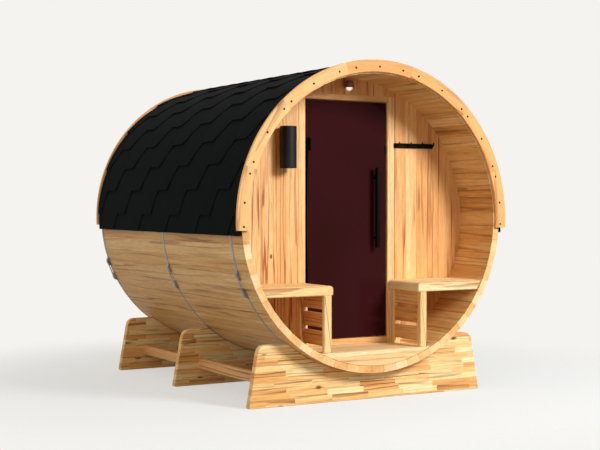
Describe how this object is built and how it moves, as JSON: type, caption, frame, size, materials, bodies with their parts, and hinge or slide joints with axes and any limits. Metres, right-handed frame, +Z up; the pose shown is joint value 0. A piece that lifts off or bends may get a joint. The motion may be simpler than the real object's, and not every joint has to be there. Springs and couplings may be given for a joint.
{
  "type": "barrel sauna with an open porch",
  "caption": "Round barrel-shaped garden sauna of horizontal staves on cradles, with a shingled roof, a porch with benches and a hinged glass door.",
  "frame": {"origin": "on the ground, at the middle of the whole object's box", "axes": "+Z up, the porch faces -Y, the barrel lies along Y"},
  "size_m": [1.8718, 2.164, 1.997],
  "materials": {
    "stave_pine": "planed softwood staves, oiled satin",
    "arch_pine": "planed softwood arch boards",
    "cradle_pine": "edge-glued softwood strips, planed",
    "wall_pine": "planed softwood wall boards",
    "frame_pine": "planed softwood",
    "floor_pine": "planed softwood floor boards",
    "bench_pine": "planed softwood with rounded edges",
    "shingle": "bitumen shingles with black mineral grit",
    "strap_steel": "rolled steel strap",
    "bolt_steel": "zinc-plated steel",
    "bronze_glass": "bronze tinted toughened glass, polished",
    "black_steel": "satin black powder coat",
    "lamp_black": "satin black powder coat",
    "light_dome": "bronze painted cap over a frosted globe"
  },
  "bodies": {
    "cabin": {"back_wall": "wall_pine", "bench_seat_left": "bench_pine", "bench_seat_right": "bench_pine", "bench_side_left": "bench_pine", "bench_side_right": "bench_pine", "cabin_floor": "floor_pine", "coat_rack": "black_steel", "cradle_front": "cradle_pine", "cradle_middle": "cradle_pine", "cradle_rear": "cradle_pine", "door_frame": "frame_pine", "door_stops": "frame_pine", "front_arch": "arch_pine", "front_wall_foot": "wall_pine", "front_wall_header": "wall_pine", "front_wall_left": "wall_pine", "front_wall_right": "wall_pine", "hinge_plates": "black_steel", "hoop_bolts": "bolt_steel", "hoop_front": "strap_steel", "hoop_middle": "strap_steel", "hoop_rear": "strap_steel", "porch_deck": "floor_pine", "porch_front_board": "floor_pine", "porch_light": "light_dome", "rear_arch": "arch_pine", "roof_left": "shingle", "roof_right": "shingle", "roof_top": "shingle", "staves_1": "stave_pine", "staves_2": "stave_pine", "staves_3": "stave_pine", "staves_4": "stave_pine", "staves_5": "stave_pine", "staves_6": "stave_pine", "staves_7": "stave_pine", "staves_8": "stave_pine", "stretchers_left": "cradle_pine", "stretchers_right": "cradle_pine", "wall_lamp": "lamp_black"},
    "door": {"door_glass": "bronze_glass", "door_handle": "black_steel", "hinge_clamps": "black_steel", "door_catch": "black_steel"}
  },
  "joints": [
    {"name": "door_hinge", "type": "hinge", "parent": "cabin", "child": "door", "pos_m": [-0.284, -0.718, 1.0585], "axis": [0, 0, -1], "range_deg": [0, 90]}
  ]
}
